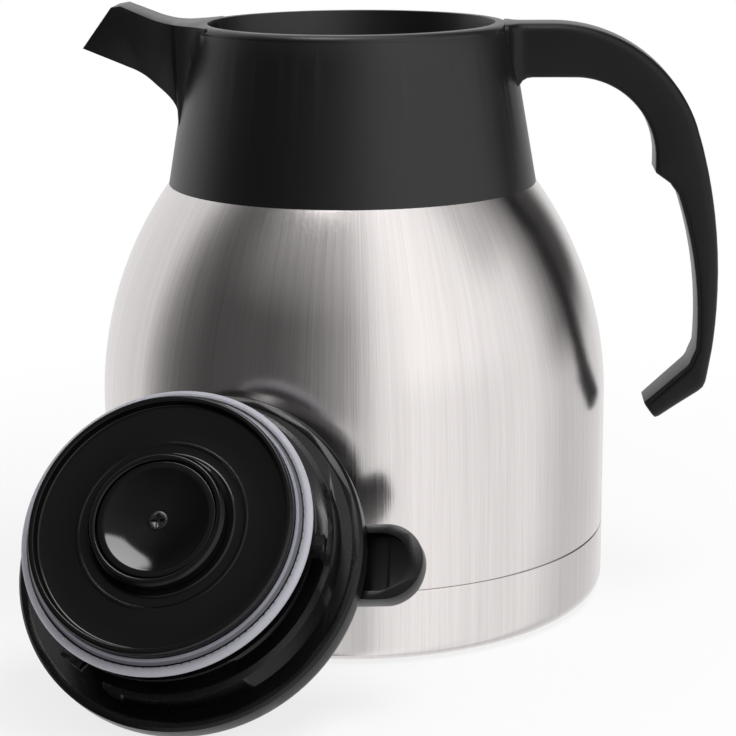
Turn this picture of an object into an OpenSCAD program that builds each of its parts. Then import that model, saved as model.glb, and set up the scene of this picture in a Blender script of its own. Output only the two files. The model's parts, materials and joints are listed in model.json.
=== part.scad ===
// Double-walled steel jug with a moulded collar, spout and open handle, and a lift-out
// stopper lid that is worked by a thumb lever. Millimetres. The jug stands on z = 0 about
// the Z axis with its handle on +X and its spout on -X. The stopper has been taken out and
// leans in front of the jug with its underside showing.

/* [Steel body] */
// Radius of the straight part of the body
body_r = 70; // [68:1:72]
// Height of the seam between the base cup and the body
cup_h = 19.4; // [16:0.2:24]
// Height at which the body starts to curve in
shoulder_z = 55; // [52:1:58]
// Thickness of both steel walls
steel_t = 0.9; // [0.7:0.1:1.2]
// Space between the outer wall and the inner flask
vacuum_gap = 4.5; // [3.5:0.5:6]
// Rounding of the bottom edge
base_edge = 5; // [4:0.5:6]
// Radius of the raised middle of the base
base_recess_r = 48; // [40:1:55]
// Depth of the raised middle of the base
base_recess = 2; // [1:0.5:3]
// Depth of the V line at the seam
seam_v = 0.35; // [0.2:0.05:0.5]

/* [Steel neck] */
// Outer radius of the neck
neck_outer_r = 38; // [37.6:0.1:38.4]
// Gap between the two walls in the neck
neck_gap = 0.4; // [0.3:0.05:0.5]
// Depth of the neck's top below the rim
neck_drop = 13.8; // [13.4:0.1:14.2]

/* [Collar] */
// Height of the rim
rim_z = 158; // [155:0.5:161]
// Thickness of the collar at the rim
rim_t = 3.9; // [3.6:0.1:4.3]
// Rounding of the rim's outer edge
rim_edge = 1.8; // [1.2:0.1:2.2]
// Step from the neck's outside out to the wall of the mouth
mouth_step = 1; // [0.8:0.1:1.4]
// Height of the collar
collar_h = 43.1; // [41.5:0.1:44.5]
// Growth of the collar's radius from the rim down to the steel
collar_flare = 7.5; // [7:0.1:8]
// Thickness of the collar's outer wall
collar_t = 2.4; // [2:0.1:2.8]
// Thickness of the tube inside the collar
tube_t = 3; // [2.6:0.1:3.4]
// Gap between the tube's lower end and the foot of the neck
tube_lift = 2.1; // [1.6:0.1:2.6]
// Depth of the locking ledge below the rim
ledge_depth = 8.8; // [8.6:0.1:9]
// Thickness of the locking ledge
ledge_t = 1.5; // [1.2:0.1:1.6]
// Step from the inside of the neck out to the locking ledge
ledge_step = 0.6; // [0.4:0.1:1]
// Step from the outside of the neck out to the locking groove
groove_step = 0.4; // [0.3:0.1:0.6]

/* [Spout] */
// Reach of the lower lip beyond the rim
lip_reach = 29.5; // [28:0.1:31]
// Depth of the lower lip below the rim
lip_drop = 6.4; // [5.6:0.1:7]
// Reach of the roof's front corner beyond the rim
roof_reach = 21.3; // [20:0.1:22.5]
// Rise of the roof's front corner above the rim
roof_rise = 4.6; // [4:0.1:5.4]
// Depth of the spout's root below the rim
spout_depth = 27; // [26:0.5:28]
// Half width of the spout at its lip
lip_half = 6.6; // [6:0.2:7.4]
// Growth of the half width for each millimetre towards the jug
spout_flare = 0.16; // [0.12:0.02:0.2]
// Radius of the hollow where the spout's sides meet the collar
spout_blend = 24; // [18:1:28]
// Radius of the curve under the spout
under_r = 16.4; // [15.5:0.1:17]
// Thickness of the spout's walls
spout_t = 2; // [1.6:0.1:2.4]

/* [Handle] */
// Width of the handle
handle_w = 16; // [14:0.5:18]
// Rounding of the handle's long edges
handle_edge = 2.6; // [2:0.1:3.2]
// Radius of the outer bend at the top
bend_r = 41.5; // [40:0.5:43]
// Distance of the outer bend's centre from the rim
bend_out = 11.5; // [10.6:0.1:12.6]
// Radius of the long outer curve
back_r = 143.5; // [138:0.5:150]
// Angle at which the bend passes into the long curve
bend_end = 17; // [15:0.5:19]
// Depth of the handle at its root
root_depth = 14.4; // [13.6:0.1:15]
// Radius of the inner bend at the top
inner_r = 22.1; // [21:0.1:23]
// Distance of the inner bend's centre from the rim
inner_out = 17.4; // [16.6:0.1:18.2]
// Radius of the long inner curve
grip_r = 108; // [104:0.5:112]
// Reach of the long inner curve beyond the rim
grip_reach = 52; // [51.5:0.1:52.5]
// Depth below the rim at which the long inner curve is furthest out
grip_drop = 82; // [80:0.5:84]
// Depth of the finger stop below the rim
stop_drop = 40; // [39:0.2:41]
// Rounding where the handle leaves the collar
root_fillet = 3.6; // [3:0.1:4.2]

/* [Stopper lid] */
// Overhang of the lid beyond the rim
lid_over = 0.6; // [0.2:0.1:1]
// Rounding of the lid's upper edge
lid_round = 4; // [3.6:0.1:4.4]
// Height of the top of the lid in the middle
lid_top = 12.4; // [12:0.1:12.8]
// Radius of the lid's shallow dome
dome_r = 218; // [200:2:240]
// Thickness of the lid's cover
cover_t = 2; // [1.8:0.1:2.2]
// Step from the lid's edge in to the stopper's flange
flange_step = 2.5; // [2.3:0.1:2.7]
// Thickness of the stopper's flange
flange_t = 2.2; // [2:0.1:2.4]
// Gap between the centring ring and the mouth
ring_gap = 0.7; // [0.5:0.1:1]
// Depth of the centring ring below the flange
ring_h = 8.6; // [8.4:0.1:8.7]
// Gap between the stopper's wall and the neck
plug_gap = 1.8; // [1.6:0.1:2.2]
// Thickness of the stopper's wall
plug_t = 2.2; // [2:0.1:2.4]
// Depth of the stopper's wall below the flange
plug_h = 19; // [18.6:0.1:19.4]
// Step from the stopper's wall in to the rim of its bottom plate
floor_step = 1.75; // [1.6:0.05:1.9]
// Thickness of the stopper's bottom plate
floor_t = 2; // [1.8:0.1:2.2]
// Width of the raised rim round the bottom plate
tray_w = 1.55; // [1.3:0.05:1.8]
// Height of the raised rim above the bottom plate
tray_h = 2.4; // [2:0.1:2.8]
// Squeeze of the stopper's gasket in the neck
gasket_press = 0.3; // [0.1:0.1:0.4]

/* [Valve] */
// Outer radius of the port's collar where it leaves the bottom plate
port_base_r = 17.6; // [17.3:0.1:17.9]
// Outer radius of the port's collar at its end
port_end_r = 16.5; // [16.3:0.1:16.7]
// Length of the port's collar
port_h = 4.6; // [4.2:0.1:4.8]
// Radius of the port at its outer end
port_r = 14.6; // [14.4:0.1:14.8]
// Growth of the port's radius for each millimetre inwards
port_taper = 0.27; // [0.25:0.01:0.29]
// Gap between the valve head and the port
valve_gap = 0.3; // [0.25:0.05:0.35]
// Depth of the dish in the valve head
dish_depth = 1.6; // [1.2:0.1:2]
// Radius of the valve stem
stem_r = 2; // [1.9:0.05:2.1]
// Radial clearance of the stem in its guide
stem_fit = 0.08; // [0.06:0.01:0.1]

/* [Thumb lever] */
// Width of the lever
lever_w = 19.2; // [18.8:0.1:19.4]
// Thickness of the lever's walls
lever_t = 2.2; // [2:0.1:2.4]
// Reach of the tab's rounded end beyond the lid's edge
tab_reach = 13.1; // [12.6:0.1:13.8]
// Height of the tab's underside above the flange
tab_under = 8; // [7.8:0.1:8.2]
// Height of the tab's upper side above the flange
tab_top = 13.4; // [13:0.1:13.8]
// Distance of the lever's pin from the lid's axis
pin_x = 26; // [25:0.5:27]
// Height of the lever's pin above the flange
pin_z = 8.6; // [8.4:0.1:8.8]
// Radius of the lever's pin
pin_r = 1.25; // [1.2:0.05:1.3]
// Radial clearance of the lever on its pin
pin_fit = 0.05; // [0.03:0.01:0.08]
// Gap between the lever and the sides of its slot
slot_gap = 0.4; // [0.3:0.05:0.5]

/* [Where the lid leans] */
// Angle of the lid's underside above the horizontal line of sight
lean = 38.4; // [38:0.1:39]
// Turn of the lid about the upright
lean_turn = -13.2; // [-14:0.2:-12]
// Turn of the lid about its own axis
lid_spin = 7; // [5:0.5:9]
// Sideways place of the lid
lid_x = -35.2; // [-35.4:0.1:-35]
// Gap between the leaning lid and the body
lean_gap = 0.15; // [0.1:0.05:0.3]

/* [Hidden] */
$fn = 96;
over = 0.5;

// Radii that follow the neck
neck_r = neck_outer_r - 2 * steel_t - neck_gap;
neck_top = rim_z - neck_drop;
mouth_r = neck_outer_r + mouth_step;
rim_r = mouth_r + rim_t;
collar_z = rim_z - collar_h;
collar_r = rim_r + collar_flare;
ledge_r = neck_r + ledge_step;
groove_r = neck_outer_r + groove_step;
lid_r = rim_r + lid_over;
flange_r = lid_r - flange_step;
ring_r = mouth_r - ring_gap;
plug_r = neck_r - plug_gap;
floor_r = plug_r - floor_step;
gasket_r = neck_r + gasket_press;

// Steel body
shoulder_rise = collar_z - shoulder_z;
shoulder_drop = body_r - collar_r;
shoulder_r = (shoulder_rise * shoulder_rise + shoulder_drop * shoulder_drop) / (2 * shoulder_drop);
shoulder_x = body_r - shoulder_r;
liner_inset = steel_t + vacuum_gap;
liner_bottom = base_recess + steel_t + vacuum_gap;
flask_edge = 10;
spigot_h = 3;

function on_shoulder(r, inset) = shoulder_z + sqrt(pow(shoulder_r - inset, 2) - pow(r - shoulder_x, 2));
neck_z = on_shoulder(neck_outer_r, 0);

// Collar
cone = (collar_r - rim_r) / (rim_z - collar_z);
tube_r = neck_outer_r + tube_t;
tube_bottom = neck_z + tube_lift;
hollow_drop = 11;
hollow_top = rim_z - hollow_drop;
neck_ring_h = 9;
seal_h = 2;
seal_z = tube_bottom + 0.7 * (neck_top - tube_bottom) - seal_h / 2;
seal_r = neck_outer_r + 1.6;
ledge_top = rim_z - ledge_depth;

// Spout
spout_z = rim_z - spout_depth;
lip_x = rim_r + lip_reach;
lip_z = rim_z - lip_drop;
roof_x = rim_r + roof_reach;
roof_z = rim_z + roof_rise;
under_x = rim_r + cone * spout_depth + under_r + 0.3;
under_a = 21.8;
under_tx = under_x - under_r * sin(under_a);
under_tz = spout_z + under_r * cos(under_a);
roof_r = 27;
roof_a = 20;
roof_start = rim_r + 1;
roof_tx = roof_start + roof_r * sin(roof_a);
roof_tz = rim_z + roof_r - roof_r * cos(roof_a);
peak_x = roof_x - 2.6;
peak_z = roof_z + 0.4;
throat_z = neck_top + 1.2;
spout_line = atan(spout_flare);
blend_y = lip_half + spout_flare * (lip_x - rim_r) + spout_blend / cos(spout_line) - 3.4;
blend_x = sqrt((rim_r + spout_blend) * (rim_r + spout_blend) - blend_y * blend_y);

// Handle
bend_x = rim_r + bend_out;
bend_z = rim_z - bend_r;
root_under_z = rim_z - root_depth;
inner_x = rim_r + inner_out;
grip_x = rim_r + grip_reach;
grip_z = rim_z - grip_drop;
stop_x = grip_x - 12.6;
stop_z = rim_z - stop_drop;
back_x = bend_x - (back_r - bend_r) * cos(bend_end);
back_z = bend_z - (back_r - bend_r) * sin(bend_end);
back_end = 11.6;
bar_depth = 18;
hair = 0.02;
inner_z = root_under_z - inner_r;
root_x = rim_r + root_fillet;
root_y = handle_w / 2 + root_fillet;
root_cx = sqrt(root_x * root_x - root_y * root_y);
root_out = rim_r + cone * (root_depth + 0.6) + root_fillet;

// Lid
dome_x = lid_r - lid_round;
lid_edge_h = lid_top - dome_r + sqrt((dome_r - lid_round) * (dome_r - lid_round) - dome_x * dome_x);
floor_z = -plug_h - floor_t;
tray_in = floor_r - tray_w;
tray_z = floor_z - tray_h;
port_z = floor_z - port_h;
port_top_r = port_r + port_taper * (port_h + floor_t);
valve_z = port_z + 0.4;
valve_r = port_r + port_taper * 0.4 - valve_gap;
valve_top_r = port_top_r - valve_gap;
valve_flange = -plug_h + 0.8;
valve_flange_t = 1.4;
valve_flange_r = port_top_r + 3;
dish_edge = valve_r - 0.5;
dish_r = (dish_edge * dish_edge + dish_depth * dish_depth) / (2 * dish_depth);
screw_z = valve_z + dish_depth + 1.3;
guide_r = 4.5;
guide_bottom = -4;
spring_r = 6.4;
spring_bottom = valve_flange + valve_flange_t + 0.05;
hub_bottom = -1.6;
spring_top = hub_bottom - 0.05;
head_z = 8.05;
head_r = 4.4;
head_t = 1.3;
fork_tip = -1.5;
fork_z = head_z - 0.05;
fork_t = 2;
slot_half = lever_w / 2 + slot_gap;
slot_floor = 5.4;
lever_in = -9;
cheek_t = 1.8;
tab_end = lid_r + tab_reach;
tab_cx = tab_end - lever_w / 2;
lug_r = groove_r - 0.8;
lug_h = 3;
lug_z = -13.6;
lug_w = 6;
ring_edge = 1.2;
lid_z = dome_x * cos(lean) + lid_edge_h * sin(lean) + lid_round + 0.02;

// The lid's rounded edge is a ring of circles. The forward place of the lid is where the nearest of
// their centres, tried all round the edge, still clears the body by the rounding and the gap.
tilt = -90 - lean;
function body_at(z, out) =
  z < shoulder_z ? body_r + out : shoulder_x + sqrt(pow(shoulder_r + out, 2) - pow(z - shoulder_z, 2));
function edge_in(a) = dome_x * sin(a) * cos(tilt) - lid_edge_h * sin(tilt);
function edge_x(a) = lid_x + dome_x * cos(a) * cos(lean_turn) - edge_in(a) * sin(lean_turn);
function edge_y(a) = dome_x * cos(a) * sin(lean_turn) + edge_in(a) * cos(lean_turn);
function edge_body(a) = body_at(lid_z + dome_x * sin(a) * sin(tilt) + lid_edge_h * cos(tilt), lid_round + lean_gap);
lid_y = min([
  for (a = [0:2:358]) if (abs(edge_x(a)) < edge_body(a)) -edge_y(a) - sqrt(pow(edge_body(a), 2) - pow(edge_x(a), 2))
]);

// Steel body

module vessel_2d(inset, low) {
  translate([0, low]) square([body_r - inset, shoulder_z - low]);
  intersection() {
    translate([0, low]) square([body_r, neck_top - low]);
    translate([shoulder_x, shoulder_z]) circle(r = shoulder_r - inset, $fn = 360);
  }
}

module vessel_outside() {
  rotate_extrude() intersection() {
    vessel_2d(0, cup_h);
    square([body_r, on_shoulder(neck_r, 0)]);
  }
}

module base_2d(inset) {
  edge = base_edge - inset;
  translate([0, base_edge]) square([body_r - inset, cup_h - base_edge]);
  translate([0, inset]) square([body_r - base_edge, base_edge]);
  translate([body_r - base_edge, base_edge]) circle(r = edge);
}

module base_cup() {
  color("silver") rotate_extrude() {
    difference() {
      base_2d(0);
      base_2d(steel_t);
      square([base_recess_r, base_recess]);
      polygon([
        [body_r - seam_v, cup_h], [body_r + 1, cup_h - seam_v - 1], [body_r + 1, cup_h + 1], [body_r - seam_v, cup_h + 1]
      ]);
      translate([0, cup_h - 1]) square([body_r - steel_t, 2]);
    }
    translate([0, base_recess]) square([base_recess_r + steel_t, steel_t]);
    translate([base_recess_r, 0]) square([steel_t, base_recess + steel_t]);
    translate([body_r - 2 * steel_t, cup_h - spigot_h]) square([steel_t, 2 * spigot_h]);
  }
}

module outer_shell() {
  color("silver") rotate_extrude() difference() {
    union() {
      vessel_2d(0, cup_h);
      translate([0, shoulder_z]) square([neck_outer_r, neck_top - steel_t - shoulder_z]);
    }
    vessel_2d(steel_t, cup_h - 1);
    square([neck_outer_r - steel_t, neck_top + 1]);
    translate([0, neck_top - steel_t]) square([body_r, body_r]);
    polygon([
      [body_r - seam_v, cup_h], [body_r + 1, cup_h + seam_v + 1], [body_r + 1, cup_h - 1], [body_r - seam_v, cup_h - 1]
    ]);
  }
}

module flask_2d(inset) {
  low = liner_bottom + inset - liner_inset;
  edge = flask_edge - inset + liner_inset;
  translate([0, low + edge]) square([body_r - inset, shoulder_z - low - edge]);
  translate([0, low]) square([body_r - inset - edge, edge + 1]);
  translate([body_r - inset - edge, low + edge]) circle(r = edge);
  intersection() {
    translate([0, low + edge]) square([body_r, neck_top - low - edge]);
    translate([shoulder_x, shoulder_z]) circle(r = shoulder_r - inset, $fn = 360);
  }
}

module inner_liner() {
  color("gainsboro") rotate_extrude() difference() {
    union() {
      intersection() {
        flask_2d(liner_inset);
        square([body_r, on_shoulder(neck_r, liner_inset)]);
      }
      translate([0, shoulder_z]) square([neck_r + steel_t, neck_top - shoulder_z]);
      translate([0, neck_top - steel_t]) square([neck_outer_r, steel_t]);
    }
    intersection() {
      flask_2d(liner_inset + steel_t);
      square([body_r, on_shoulder(neck_r - steel_t, liner_inset + steel_t)]);
    }
    translate([0, shoulder_z]) square([neck_r, neck_top]);
  }
}

// Collar and handle

module ring(r0, r1, z0, z1) {
  rotate_extrude() translate([r0, z0]) square([r1 - r0, z1 - z0]);
}

module neck_ring() {
  color("dimgray") difference() {
    ring(neck_outer_r, tube_r, tube_bottom - neck_ring_h, tube_bottom);
    vessel_outside();
  }
}

module neck_gasket() {
  color("white") ring(neck_outer_r, seal_r, seal_z, seal_z + seal_h);
}

module collar_cone_2d(inset, low, high) {
  foot = rim_r + cone * (rim_z - low) - inset;
  top = rim_r + cone * (rim_z - high) - inset;
  polygon([[0, low], [foot, low], [top, high], [0, high]]);
}

module collar_outside() {
  rotate_extrude() {
    collar_cone_2d(0, collar_z - 1, rim_z - rim_edge);
    square_top = rim_r - rim_edge;
    translate([0, rim_z - rim_edge - 0.5]) square([square_top, rim_edge + 0.5]);
    translate([square_top, rim_z - rim_edge]) circle(r = rim_edge);
  }
}

module spout_side() {
  difference() {
    polygon([
      [tube_r - 4, spout_z], [under_tx, spout_z], [under_tx, under_tz], [lip_x, lip_z],
      [roof_x, roof_z], [peak_x, peak_z], [roof_tx, roof_tz], [roof_start, rim_z + 4], [roof_start, rim_z],
      [tube_r - 4, rim_z]
    ]);
    translate([under_x, spout_z]) circle(r = under_r, $fn = 180);
    translate([roof_start, rim_z + roof_r]) circle(r = roof_r, $fn = 180);
  }
}

module spout_plan(inset, low) {
  root_half = lip_half + spout_flare * (lip_x - low) - inset;
  polygon([[low, -root_half], [lip_x + 1, inset - lip_half], [lip_x + 1, lip_half - inset], [low, root_half]]);
}

module spout_blends() {
  for (side = [-1, 1]) {
    difference() {
      polygon([
        [20, 0], [blend_x, 0], [blend_x + 3, side * blend_y], [blend_x, side * blend_y],
        [blend_x * rim_r / (rim_r + spout_blend), side * blend_y * rim_r / (rim_r + spout_blend)]
      ]);
      translate([blend_x, side * blend_y]) circle(r = spout_blend, $fn = 180);
    }
  }
}

module spout_block() {
  intersection() {
    rotate([90, 0, 180]) translate([0, 0, -rim_r]) linear_extrude(height = 2 * rim_r) spout_side();
    rotate([0, 0, 180]) translate([0, 0, spout_z - 1]) linear_extrude(height = 2 * spout_depth) {
      spout_plan(0, rim_r - 6);
      spout_blends();
    }
  }
}

module spout_channel() {
  intersection() {
    rotate([90, 0, 180]) translate([0, 0, -rim_r]) linear_extrude(height = 2 * rim_r) polygon([
      [tube_r - 6, throat_z], [tube_r + 9, throat_z + 0.6], [lip_x + 2, lip_z + 2.2],
      [lip_x + 2, roof_z + 4], [roof_x + 2, roof_z - 0.4], [peak_x, peak_z - spout_t - 0.2],
      [roof_tx, roof_tz - spout_t - 0.4], [tube_r - 6, rim_z - spout_t - 0.6]
    ]);
    rotate([0, 0, 180]) translate([0, 0, spout_z]) linear_extrude(height = 2 * spout_depth)
      spout_plan(spout_t, rim_r - 10);
  }
}

module collar() {
  color("#222226") difference() {
    union() {
      difference() {
        collar_outside();
        rotate_extrude() difference() {
          collar_cone_2d(collar_t, collar_z - 10, hollow_top);
          translate([0, tube_bottom]) square([tube_r, collar_h]);
        }
      }
      spout_block();
    }
    rotate_extrude() polygon([
      [0, tube_bottom - neck_ring_h], [tube_r, tube_bottom - neck_ring_h], [tube_r, tube_bottom],
      [neck_outer_r, tube_bottom], [neck_outer_r, seal_z], [seal_r, seal_z],
      [seal_r, seal_z + seal_h], [neck_outer_r, seal_z + seal_h], [neck_outer_r, neck_top],
      [groove_r, neck_top], [groove_r, ledge_top - ledge_t], [ledge_r, ledge_top - ledge_t],
      [ledge_r, ledge_top], [mouth_r, ledge_top], [mouth_r, rim_z + over], [0, rim_z + over]
    ]);
    for (a = [36, 156, 276]) rotate([0, 0, a]) intersection() {
      translate([0, 0, neck_top + 1]) cylinder(r = lug_r + 0.3, h = ledge_depth);
      translate([0, -lug_w, neck_top]) cube([collar_r, 2 * lug_w, neck_drop]);
    }
    spout_channel();
    vessel_outside();
  }
}

module bar_2d(outer, trim) {
  half = handle_w / 2 - trim;
  knee = handle_edge * 0.293;
  polygon([
    [outer - bar_depth, -half], [outer - handle_edge, -half], [outer - knee, knee - half],
    [outer, handle_edge - half], [outer, half - handle_edge], [outer - knee, half - knee],
    [outer - handle_edge, half], [outer - bar_depth, half]
  ]);
}

module hollow_2d(r) {
  half = handle_w / 2;
  flare = handle_edge * 0.7;
  polygon([
    [0, -half - 1], [r + flare + 1, -half - 1], [r, flare - half], [r, half - flare],
    [r + flare + 1, half + 1], [0, half + 1]
  ]);
}

module arc_about_y(x, z, from, sweep) {
  translate([x, 0, z]) rotate([90, 0, 0]) rotate([0, 0, from])
    rotate_extrude(angle = sweep, $fn = 240) children();
}

module handle_hook() {
  rotate([90, 0, 0]) translate([grip_x, grip_z, 0.8 - handle_w / 2])
    linear_extrude(height = handle_w - 1.6) polygon([
      [3.5, -10], [2.7, -16], [2.3, -18.2], [-10.5, -27.1], [-11.3, -27.1], [-14.3, -23.4], [-14.2, -22.6],
      [-2.3, -11.6], [-0.7, -8], [0.5, -6]
    ]);
}

module handle() {
  color("#222226") difference() {
    union() {
      difference() {
        union() {
          rotate([90, 0, 90]) translate([0, 0, rim_r - 8]) linear_extrude(height = bend_x - rim_r + 8)
            rotate([0, 0, 90]) bar_2d(rim_z - hair, 2 * hair);
          arc_about_y(bend_x, bend_z, bend_end - 12, 112 - bend_end) bar_2d(bend_r, 0);
          arc_about_y(back_x, back_z, -back_end, bend_end + back_end) bar_2d(back_r - hair, 2 * hair);
          translate([0, 0, root_under_z - 6]) linear_extrude(height = root_depth + 6)
            for (side = [-1, 1]) difference() {
              polygon([
                [rim_r - 13, 0], [root_cx, 0], [root_cx, side * root_y],
                [root_cx * rim_r / root_x, side * root_y * rim_r / root_x]
              ]);
              translate([root_cx, side * (root_y - hair)]) circle(r = root_fillet, $fn = 48);
            }
        }
        arc_about_y(inner_x, inner_z, 0, 360) hollow_2d(inner_r);
        rotate([90, 0, 90]) linear_extrude(height = inner_x) polygon([
          [-handle_w, stop_z - 30], [-handle_w, root_under_z], [-handle_w / 2 - 1, root_under_z + 2.8],
          [1.8 - handle_w / 2, root_under_z], [handle_w / 2 - 1.8, root_under_z],
          [handle_w / 2 + 1, root_under_z + 2.8], [handle_w, root_under_z], [handle_w, stop_z - 30]
        ]);
        difference() {
          intersection() {
            arc_about_y(grip_x - grip_r, grip_z, 0, 360) hollow_2d(grip_r);
            translate([inner_x - 0.7, -handle_w, 0]) cube([grip_r, 2 * handle_w, rim_z]);
          }
          translate([stop_x, -handle_w - 1, stop_z]) rotate([0, 37, 0]) translate([-bend_r, 0, 0])
            cube([3 * bend_r, 2 * handle_w + 2, 1.5 * bend_r]);
        }
      }
      handle_hook();
      translate([0, -handle_w / 2 + handle_edge, 0]) rotate([90, 0, 0]) mirror([0, 0, 1])
        linear_extrude(height = handle_w - 2 * handle_edge) difference() {
          translate([rim_r - 3, root_under_z - root_fillet]) square([root_out - rim_r + 3, root_fillet + 1]);
          translate([root_out, root_under_z - root_fillet + hair]) circle(r = root_fillet, $fn = 48);
        }
    }
    collar_outside();
  }
}

// Stopper lid, drawn as it sits in the mouth, about its own axis

module leaning() {
  translate([lid_x, lid_y, lid_z]) rotate([0, 0, lean_turn]) rotate([-90 - lean, 0, 0])
    rotate([0, 0, -lid_spin]) children();
}

module lid_outline_2d(inset) {
  low = inset > 0 ? -1 : 0;
  translate([0, low]) square([lid_r - inset, lid_edge_h - low]);
  translate([dome_x, lid_edge_h]) circle(r = lid_round - inset, $fn = 72);
  intersection() {
    translate([0, lid_edge_h - 0.5]) square([dome_x * (dome_r - inset) / (dome_r - lid_round), 20]);
    translate([0, lid_top - dome_r]) circle(r = dome_r - inset, $fn = 720);
  }
}

module lever_slot() {
  translate([lever_in - slot_gap, -slot_half, slot_floor]) cube([tab_end, 2 * slot_half, 20]);
}

module lid_cover() {
  color("#222226") leaning() difference() {
    union() {
      difference() {
        rotate_extrude() difference() {
          lid_outline_2d(0);
          difference() {
            lid_outline_2d(cover_t);
            translate([flange_r, -2]) square([5, flange_t + 2]);
            translate([flange_r - 1, flange_t]) square([5, 1.2]);
          }
          polygon([[lid_r - 0.8, -0.01], [lid_r + 0.01, -0.01], [lid_r + 0.01, 0.8]]);
        }
      }
      intersection() {
        for (side = [-1, 1]) translate([pin_x - 7, side * (slot_half + cheek_t / 2) - cheek_t / 2, flange_t])
          cube([14, cheek_t, 20]);
        rotate_extrude() lid_outline_2d(cover_t / 2);
      }
    }
    lever_slot();
    translate([pin_x, 0, pin_z]) rotate([90, 0, 0])
      cylinder(r = pin_r, h = 2 * slot_half + 2 * cheek_t, center = true, $fn = 48);
  }
}

module lever_pin() {
  color("silver") leaning() translate([pin_x, 0, pin_z]) rotate([90, 0, 0])
    cylinder(r = pin_r, h = 2 * slot_half + 2 * cheek_t, center = true, $fn = 48);
}

module sector(a0, a1, r, z0, z1) {
  translate([0, 0, z0]) rotate([0, 0, a0]) rotate_extrude(angle = a1 - a0) square([r, z1 - z0]);
}

module plug_body() {
  color("#1c1c20") leaning() difference() {
    union() {
      rotate_extrude() {
        square([flange_r, flange_t]);
        translate([plug_r - plug_t, -plug_h]) square([plug_t, plug_h + 1]);
      }
      difference() {
        rotate_extrude() polygon([
          [plug_r - 1, -ring_h], [ring_r - ring_edge, -ring_h], [ring_r, ring_edge - ring_h], [ring_r, 1],
          [plug_r - 1, 1]
        ]);
        sector(114, 246, ring_r + 2, -ring_h - 1, 0);
      }
      ring(plug_r - 1, plug_r + plug_gap - 0.5, lug_z, lug_z + 1.2);
      for (a = [6, 126, 246]) rotate([0, 0, a]) intersection() {
        translate([plug_r - 1, -lug_w / 2, lug_z]) cube([10, lug_w, lug_h]);
        cylinder(r = lug_r, h = 60, center = true);
      }
      ring(guide_r, guide_r + 2, hub_bottom, 1);
    }
    cylinder(r = guide_r, h = 20, center = true, $fn = 72);
    for (a = [-30, 0, 30]) rotate([0, 0, 180 + a]) translate([plug_r - 5, -7, -ring_h])
      cube([10, 14, ring_h - 1.4]);
  }
}

module plug_floor() {
  color("#141416") leaning() difference() {
    union() {
      rotate_extrude() polygon([
        [0, floor_z], [tray_in, floor_z], [tray_in, tray_z + 0.3], [tray_in + 0.3, tray_z],
        [floor_r - 0.5, tray_z], [floor_r, tray_z + 0.5], [floor_r, -plug_h], [plug_r - plug_t, -plug_h],
        [plug_r - plug_t, 3 - plug_h], [0, 3 - plug_h]
      ]);
      rotate_extrude() polygon([
        [0, floor_z + 1], [port_base_r, floor_z + 1], [port_base_r, floor_z], [port_end_r, port_z + 0.6],
        [port_end_r - 0.6, port_z], [0, port_z]
      ]);
    }
    rotate_extrude() polygon([
      [0, port_z - 1], [port_r - port_taper, port_z - 1], [port_top_r, -plug_h], [tray_in, -plug_h],
      [tray_in, 4 - plug_h], [0, 4 - plug_h]
    ]);
  }
}

module stopper_gasket() {
  color("white") leaning() rotate_extrude() difference() {
    union() {
      polygon([
        [floor_r, -plug_h - 1.6], [plug_r - 0.6, -plug_h - 1.3], [plug_r - 0.2, -plug_h - 0.7],
        [gasket_r - 1.2, -plug_h + 0.4], [gasket_r - 0.2, -plug_h + 1.4], [gasket_r - 0.6, -plug_h + 3],
        [plug_r + 0.9, -plug_h + 3.6], [plug_r, -plug_h + 3.6], [floor_r, -plug_h]
      ]);
      translate([gasket_r - 1.2, -plug_h + 1.4]) circle(r = 1.2, $fn = 48);
    }
    translate([floor_r - 2, -plug_h]) square([plug_r - floor_r + 2, 10]);
  }
}

module guide_bush() {
  color("#d8d4c8") leaning() rotate_extrude($fn = 72) {
    translate([stem_r + stem_fit, guide_bottom]) square([guide_r - stem_r - stem_fit, flange_t - guide_bottom]);
    translate([stem_r + stem_fit, flange_t]) square([guide_r + 1.2 - stem_r - stem_fit, 1.2]);
  }
}

module valve_spring() {
  color("silver") leaning() translate([0, 0, spring_bottom])
    linear_extrude(height = spring_top - spring_bottom, twist = -360 * 4.5, slices = 108, $fn = 14) polygon([
      for (a = [0:20:120]) [spring_r * cos(a), spring_r * sin(a)],
      for (a = [120:-20:0]) [(spring_r - 1) * cos(a), (spring_r - 1) * sin(a)]
    ]);
}

// Thumb lever

module lever_plan(inset) {
  half = lever_w / 2 - inset;
  end = tab_cx - (inset > 0 ? 1.4 : 0);
  translate([lever_in + inset, -half]) square([end - lever_in - inset, 2 * half]);
  translate([end, 0]) circle(r = half, $fn = 96);
}

module lever_side_2d() {
  polygon([
    [lever_in, fork_z - fork_t], [18, fork_z - fork_t], [pin_x, 6.6], [dome_x + 0.5, 7.2],
    [lid_r + 0.3, tab_under], [tab_end + 1, tab_under], [tab_end + 1, tab_top - 1.6],
    [tab_end - 2, tab_top - 0.4], [tab_end - 8, tab_top], [lid_r + 0.5, tab_top - 0.2],
    [18, lid_top], [lever_in, lid_top]
  ]);
}

module lever_hollow_2d() {
  polygon([
    [lever_in - 1, 0], [tab_cx + 1, 0], [tab_cx + 1, tab_top - lever_t - 0.6],
    [lid_r + 0.5, tab_top - lever_t - 0.3],
    [18, lid_top - lever_t], [lever_in - 1, lid_top - lever_t]
  ]);
}

module along_y(h) {
  translate([0, h / 2, 0]) rotate([90, 0, 0]) linear_extrude(height = h) children();
}

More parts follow.
